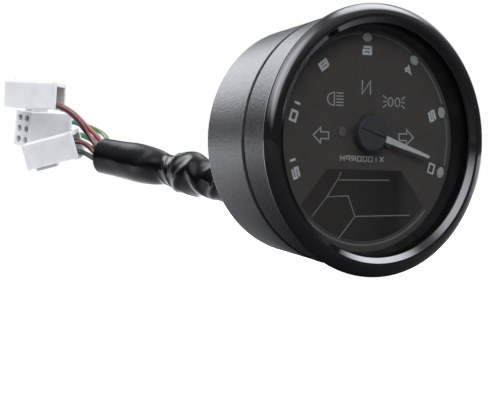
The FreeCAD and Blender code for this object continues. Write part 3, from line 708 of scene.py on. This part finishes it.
def high_beam(centre):
    """The main-beam sign: a D-shaped lamp and five level rays, the lamp's round side facing left."""
    x, z = centre
    half_turn = np.linspace(math.pi / 2, 1.5 * math.pi, 14)
    round_side = [(x - 0.2 + 2.6 * math.cos(a), z + 2.0 * math.sin(a)) for a in half_turn]
    rays = [strip([(x + 0.55, z + rise), (x + 3.3, z + rise)], RAY, DIAL_FACE_Y)
            for rise in (-1.9, -0.95, 0.0, 0.95, 1.9)]
    return [strip(round_side, OUTLINE, DIAL_FACE_Y, closed=True)] + rays


def side_lights(centre):
    """The position-lamp sign: two ovals back to back with three rays on each side."""
    x, z = centre
    parts = []
    for facing in (-1, 1):
        oval = [(x + facing * 1.4 + 0.95 * math.cos(a), z + 1.35 * math.sin(a))
                for a in np.linspace(0, 2 * math.pi, 18, endpoint=False)]
        parts.append(strip(oval, RAY, DIAL_FACE_Y, closed=True))
        for slope in (-1, 0, 1):
            parts.append(strip([(x + facing * 2.95, z + slope * 0.9), (x + facing * 4.4, z + slope * 1.9)],
                               RAY, DIAL_FACE_Y))
    return parts


sign_parts = [arrow(-20.0, 1.15, -1), arrow(19.3, 1.5, 1)]
sign_parts += high_beam((-12.1, 12.5)) + side_lights((11.1, 12.5))
sign_parts += lettering("N", (0.0, 16.6), 4.3, 0.42, wide=3.2)
signs = ink_piece("dial_signs", sign_parts, INK_GREY)
unit_letters = lettering("X1000RPM", (-1.0, -5.8), 1.5, OUTLINE, spread=1.55, wide=1.42)
unit_text = ink_piece("dial_unit_text", unit_letters, INK_GREY)
print("sign faces:", len(signs.data.polygons), "unit text faces:", len(unit_text.data.polygons))

# %% [markdown]
# ## The display's film
# A display that is switched off shows only its front film: a tinted polariser, nearly flush with the dial,
# with thin printed lines between its fields. The tint is the film's own, but a colour ramp along X paints a
# darker band into it right of the middle, which is a painted reflection. The film is one flat polygon with
# the window's own outline and a thickness.

# %% Film and its lines
FILM_FACE_Y, FILM_BACK_Y, FILM_GAP = -35.03, -34.4, 0.04
WINDOW_TOP_Z, WINDOW_TOP_X, WINDOW_SIDE_X, WINDOW_R = -9.2, 14.6, 24.1, 31.6
# the film's tint along X, in mm; the dark stops from 3 to 13 mm are a painted reflection
FILM_TINTS_AND_PAINTED_REFLECTION = ((-24, "#3a352f"), (-6, "#36322c"), (3, "#2c2925"), (8, "#201e1c"), (13, "#1f1d1b"),
              (17, "#383530"), (24, "#3f3b37"))
DIVIDER_STROKE = 0.28


def polariser_film():
    material, tree, shader, place = finish("tinted_polariser_film_and_painted_reflection", "#36322c", 0.42, IOR=1.49)
    # painted reflection: the ramp along X darkens the film's colour in a band right of the middle
    across = add(tree, "ShaderNodeSeparateXYZ", links={0: place}).outputs["X"]
    left, right = FILM_TINTS_AND_PAINTED_REFLECTION[0][0], FILM_TINTS_AND_PAINTED_REFLECTION[-1][0]
    limits = {"From Min": left * MM, "From Max": right * MM}
    share = add(tree, "ShaderNodeMapRange", limits, {"Value": across})
    ramp = add(tree, "ShaderNodeValToRGB", links={"Fac": share.outputs[0]})
    stops = ramp.color_ramp.elements
    while len(stops) < len(FILM_TINTS_AND_PAINTED_REFLECTION):
        stops.new(0.5)
    for stop, (x, code) in zip(stops, FILM_TINTS_AND_PAINTED_REFLECTION):
        stop.position, stop.color = (x - left) / (right - left), linear(code)
    tree.links.new(ramp.outputs["Color"], shader.inputs["Base Color"])
    mottled(tree, shader, place, 9, "Roughness", 0.36, 0.5)
    return material


def display_film():
    """A convex outline at two depths: a level top, two slanting sides and an arc of WINDOW_R below."""
    half_arc = math.degrees(math.asin(WINDOW_SIDE_X / WINDOW_R))
    bottom = arc_points(WINDOW_R - FILM_GAP, -90 + half_arc, -90 - half_arc, 48)
    top = np.array([(-WINDOW_TOP_X, WINDOW_TOP_Z - FILM_GAP), (WINDOW_TOP_X, WINDOW_TOP_Z - FILM_GAP)])
    outline = np.concatenate([top, bottom])
    rings = np.concatenate([np.insert(outline, 1, y, axis=1) for y in (FILM_FACE_Y, FILM_BACK_Y)])
    faces = grid_faces(2, len(outline), True, True)
    return mesh_piece("display_film", rings, faces, POLARISER_AND_PAINTED_REFLECTION, "case", smooth=False)


POLARISER_AND_PAINTED_REFLECTION = polariser_film()
film = display_film()
LCD_LINES = [[(-9.0, -10.0), (-10.4, -12.5), (-14.3, -17.8), (-19.9, -24.0)], [(-10.4, -12.5), (9.9, -12.3)],
             [(-14.3, -17.8), (-6.2, -17.4), (-3.3, -23.8), (18.5, -23.3)], [(-3.3, -23.8), (-9.7, -30.9)]]
ink_piece("display_divider_lines", [strip(line, DIVIDER_STROKE, FILM_FACE_Y) for line in LCD_LINES], INK_DIM)
print("film corners:", len(film.data.vertices), "lines:", len(LCD_LINES))

# %% [markdown]
# ## Needle and hub
# The needle is moulded in milky acrylic that carries light to its tip, so it looks bright. It is a slim
# bar with a low ridge. The cap over its root is dark grey. The CAD cap has a shallow groove from its
# middle out towards the needle. A dark strip right across the cap, a hair proud of it, is painted shadow:
# it draws the shade of that groove as a line.

# %% Needle, cap and groove
NEEDLE_REST, HUB_Z, CAP_TOP_Y = -16.6, 2.3, -39.4
GROOVE_BEHIND, GROOVE_AHEAD, GROOVE_WIDE, SUNK_SHARE = 4.9, 5.0, 0.42, 0.8
POINTER_FINISHES = {
    "needle": moulded("milky_acrylic_needle", "#e4e4e0", "#d8d8d3", 0.35),
    "hub_cap": moulded("abs_cap_grey", "#4e4e51", "#454548", 0.5),
}
# painted shadow: the dark ink of the strip that stands for the shade in the cap's groove
GROOVE_PAINTED_SHADOW = moulded("abs_cap_groove_shadow", "#17171a", "#101012", 0.6)
for node_name, material in POINTER_FINISHES.items():
    for place_in_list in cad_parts[node_name].material_slots:
        place_in_list.material = material


def cap_groove():
    """Painted shadow of the groove: a dark strip across the cap along the needle, a hair proud of the cap's
    flat top.
    """
    direction = np.array(polar(1.0, NEEDLE_REST))
    centre = np.array((0.0, HUB_Z))
    ends = [centre - direction * GROOVE_BEHIND, centre + direction * GROOVE_AHEAD]
    points, faces = strip(ends, GROOVE_WIDE, CAP_TOP_Y + INK * SUNK_SHARE)
    return mesh_piece("hub_cap_painted_groove_shadow", points, faces, GROOVE_PAINTED_SHADOW, "pointer", smooth=False)


cap_groove()

# %% [markdown]
# ## Studio
# A pale floor and a light tent round it. Polished trim shows its surroundings, so the tent is dim at eye
# level and has soft bright patches where the trim, the case and the sleeve should catch a band of light.
# Patches in the world have softer edges than lamps, and lamps would show as hard rectangles in the bezel.

# %% Floor and surround
scene = bpy.context.scene
scene.view_settings.view_transform = "Standard"
FLOOR_HALF, FLOOR_Z = 3.0, -0.0432
FLOOR_FADE = {"From Min": -0.05, "From Max": 0.13, "To Min": 0.03, "To Max": 0.7,
              "interpolation_type": "SMOOTHSTEP"}
ZENITH_FADE = {"From Min": 0.1, "From Max": 0.8, "To Min": 0.12, "To Max": 0.7,
               "interpolation_type": "SMOOTHSTEP"}


def studio_floor():
    """A wide floor just under the case, which to the camera glows almost white. What it reflects falls off
    towards the left front, so that the bezel's lower left stays dark."""
    material, tree, shader, place = finish("pale_floor", "#b0b0b0", 0.9)
    aim = {"operation": "DOT_PRODUCT", 1: (0.6, 0.8, 0.0)}
    towards_back = add(tree, "ShaderNodeVectorMath", aim, {0: place})
    share = add(tree, "ShaderNodeMapRange", FLOOR_FADE, {"Value": towards_back.outputs["Value"]})
    tree.links.new(share.outputs[0], shader.inputs["Base Color"])
    ray = add(tree, "ShaderNodeLightPath").outputs["Is Camera Ray"]
    shader.inputs["Emission Color"].default_value = linear("#ffffff")
    tree.links.new(ray, shader.inputs["Emission Strength"])
    mesh = bpy.data.meshes.new("studio_floor")
    corners = [(x * FLOOR_HALF, y * FLOOR_HALF, FLOOR_Z) for x, y in ((-1, -1), (1, -1), (1, 1), (-1, 1))]
    mesh.from_pydata(corners, [], [(0, 1, 2, 3)])
    mesh.materials.append(material)
    floor = bpy.data.objects.new("studio_floor", mesh)
    scene.collection.objects.link(floor)


def glow(tree, direction, towards, spread, strength):
    """Light from a soft round patch: full strength at its middle, and none from spread degrees off."""
    aim = Vector(towards).normalized()
    facing = add(tree, "ShaderNodeVectorMath", {"operation": "DOT_PRODUCT", 1: aim}, {0: direction})
    return add(tree, "ShaderNodeMapRange", {
        "interpolation_type": "SMOOTHERSTEP", "From Min": math.cos(math.radians(spread)), "From Max": 1.0,
        "To Min": 0.0, "To Max": strength}, {"Value": facing.outputs["Value"]}).outputs[0]


# each patch: the direction to it, its spread in degrees and its strength
TENT_PATCHES = {
    "overhead, to the right": ((0.52, -0.15, 0.84), 30, 7.0),
    "right, high and behind": ((0.70, 0.45, 0.56), 28, 1.0),
    "key, high on the left": ((-0.60, -0.25, 0.76), 42, 1.8),
    "fill, left of the camera": ((-0.45, -0.65, 0.61), 36, 4.0),
    "left front": ((-0.76, -0.50, 0.42), 20, 0.5),
    "behind, high": ((-0.1, 0.84, 0.54), 28, 3.2),
    "behind, level": ((0.12, 0.99, 0.08), 22, 1.6),
    "behind, right": ((0.86, 0.5, 0.05), 20, 1.6),
}


def surround():
    """A dim world, brighter towards the zenith, with soft patches. The camera sees plain white."""
    world = bpy.data.worlds.new("light_tent")
    scene.world = world
    world.use_nodes = True
    tree = world.node_tree
    tree.nodes.clear()
    direction = add(tree, "ShaderNodeTexCoord").outputs["Generated"]
    height = add(tree, "ShaderNodeSeparateXYZ", links={0: direction}).outputs["Z"]
    total = add(tree, "ShaderNodeMapRange", ZENITH_FADE, {"Value": height}).outputs[0]
    for towards, spread, strength in TENT_PATCHES.values():
        patch = glow(tree, direction, towards, spread, strength)
        total = add(tree, "ShaderNodeMath", {"operation": "ADD"}, {0: total, 1: patch}).outputs[0]
    tent = add(tree, "ShaderNodeBackground", {"Color": linear("#f4f6ff")}, {"Strength": total})
    white = add(tree, "ShaderNodeBackground", {"Color": linear("#ffffff"), "Strength": 1.0})
    ray = add(tree, "ShaderNodeLightPath").outputs["Is Camera Ray"]
    both = add(tree, "ShaderNodeMixShader", links={0: ray, 1: tent.outputs[0], 2: white.outputs[0]})
    add(tree, "ShaderNodeOutputWorld", links={"Surface": both.outputs[0]})


studio_floor()
surround()
print("soft patches of light:", len(TENT_PATCHES))
